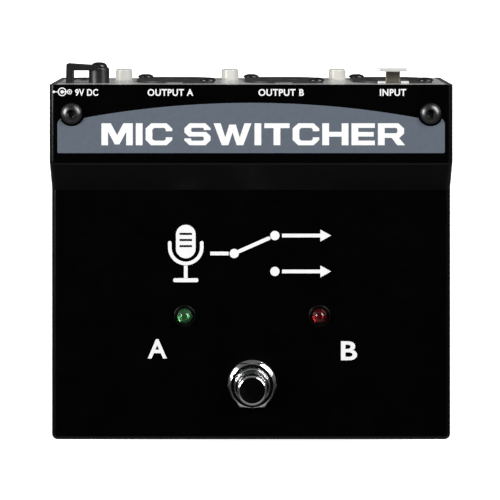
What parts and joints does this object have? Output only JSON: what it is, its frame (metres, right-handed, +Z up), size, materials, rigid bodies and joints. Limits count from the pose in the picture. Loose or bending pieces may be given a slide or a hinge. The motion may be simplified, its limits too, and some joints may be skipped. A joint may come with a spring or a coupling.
{
  "type": "direct injection box",
  "caption": "Foot-operated stage signal box: folded steel case on a rubber pad, sprung footswitch, lamps, round audio connectors, push buttons, power jack and cable clamp at the rear.",
  "frame": {"origin": "centre of the underside of the rubber base pad", "axes": "+Z up, +Y to the connector panel at the rear, +X to the right when seen from the front"},
  "size_m": [0.1334, 0.1263, 0.0542],
  "materials": {
    "case_enamel": "semi-gloss black enamel with a fine orange peel",
    "panel_enamel": "satin light grey",
    "pad_rubber": "matte closed-cell rubber sheet",
    "burnished_steel": "burnished black oxide",
    "chrome_plate": "polished plating",
    "zinc_plate": "bright zinc plating",
    "spring_steel": "drawn wire",
    "switch_housing": "moulded blue",
    "tinned_brass": "tinned",
    "lens_green": "translucent tinted epoxy",
    "lens_red": "translucent tinted epoxy",
    "bezel_plastic": "moulded black",
    "spacer_nylon": "natural nylon",
    "board_mask": "solder mask over glass laminate",
    "connector_coat": "fine-textured black coat on die-cast metal",
    "insulator": "moulded black",
    "contact_silver": "silver plated",
    "contact_gold": "gold plated",
    "black_screw": "black passivated steel",
    "button_plastic": "ivory",
    "clamp_nylon": "black nylon",
    "can_metal": "drawn nickel-iron can",
    "relay_plastic": "white",
    "module_black": "moulded black",
    "capacitor_sleeve": "shrunk sleeve",
    "resistor_coat": "lacquer",
    "chip_epoxy": "moulded black",
    "header_nylon": "natural nylon",
    "ribbon_pvc": "grey flat cable"
  },
  "bodies": {
    "case": {"top_cover": "case_enamel", "base_chassis": "panel_enamel", "base_pad": "pad_rubber", "cover_screws": "burnished_steel", "clinch_nuts": "zinc_plate", "bottom_screws": "burnished_steel", "bottom_nuts": "zinc_plate", "footswitch_spring": "spring_steel", "footswitch_bushing": "chrome_plate", "footswitch_nut": "chrome_plate", "footswitch_washer": "chrome_plate", "footswitch_lock_washer": "zinc_plate", "footswitch_inner_nut": "chrome_plate", "footswitch_frame": "zinc_plate", "footswitch_body": "switch_housing", "footswitch_terminals": "tinned_brass", "led_green": "lens_green", "led_red": "lens_red", "led_bezels": "bezel_plastic", "led_leads": "contact_silver", "led_spacers": "spacer_nylon", "led_board": "board_mask", "led_standoffs": "spacer_nylon", "output_a_shell": "connector_coat", "output_a_insert": "insulator", "output_a_pins": "contact_silver", "output_b_shell": "connector_coat", "output_b_insert": "insulator", "output_b_pins": "contact_silver", "input_shell": "connector_coat", "input_insert": "insulator", "input_contacts": "contact_gold", "input_latch_pin": "spring_steel", "input_latch_guide": "chrome_plate", "connector_screws": "black_screw", "connector_nuts": "zinc_plate", "button_switches": "module_black", "dc_jack_body": "insulator", "dc_jack_contacts": "contact_silver", "cable_clamp": "clamp_nylon", "clamp_screw": "black_screw", "clamp_nut": "zinc_plate", "main_board": "board_mask", "board_standoffs": "zinc_plate", "board_screws": "zinc_plate", "isolation_transformer": "can_metal", "transformer_base": "module_black", "relays": "relay_plastic", "dc_converter": "module_black", "electrolytic_capacitors": "capacitor_sleeve", "resistors": "resistor_coat", "op_amp_chips": "chip_epoxy", "board_headers": "header_nylon", "switch_ribbon": "ribbon_pvc"},
    "footswitch_plunger": {"footswitch_cap": "chrome_plate"},
    "left_button": {"button_left": "button_plastic"},
    "centre_button": {"button_centre": "button_plastic"},
    "right_button": {"button_right": "button_plastic"},
    "release_tab": {"input_release_tab": "chrome_plate"},
    "latch": {"input_latch": "zinc_plate"}
  },
  "joints": [
    {"name": "footswitch_press", "type": "slide", "parent": "case", "child": "footswitch_plunger", "axis": [0, 0, -1], "range_m": [0, 0.0028], "stiffness_N_per_m": 1500, "springref_m": -0.001, "deforming": ["footswitch_spring"]},
    {"name": "left_button_press", "type": "slide", "parent": "case", "child": "left_button", "axis": [0, -1, 0], "range_m": [0, 0.0024]},
    {"name": "centre_button_press", "type": "slide", "parent": "case", "child": "centre_button", "axis": [0, -1, 0], "range_m": [0, 0.0024]},
    {"name": "right_button_press", "type": "slide", "parent": "case", "child": "right_button", "axis": [0, -1, 0], "range_m": [0, 0.0024]},
    {"name": "release_tab_push", "type": "slide", "parent": "case", "child": "release_tab", "axis": [0, -1, 0], "range_m": [0, 0.0024]},
    {"name": "latch_lift", "type": "hinge", "parent": "case", "child": "latch", "pos_m": [0.0476, 0.0486, 0.0386], "axis": [1, 0, 0], "range_deg": [0, 10]}
  ],
  "couplings": [
    {"joint": "latch_lift", "follows": "release_tab_push", "rad_per_m": 72.7}
  ]
}
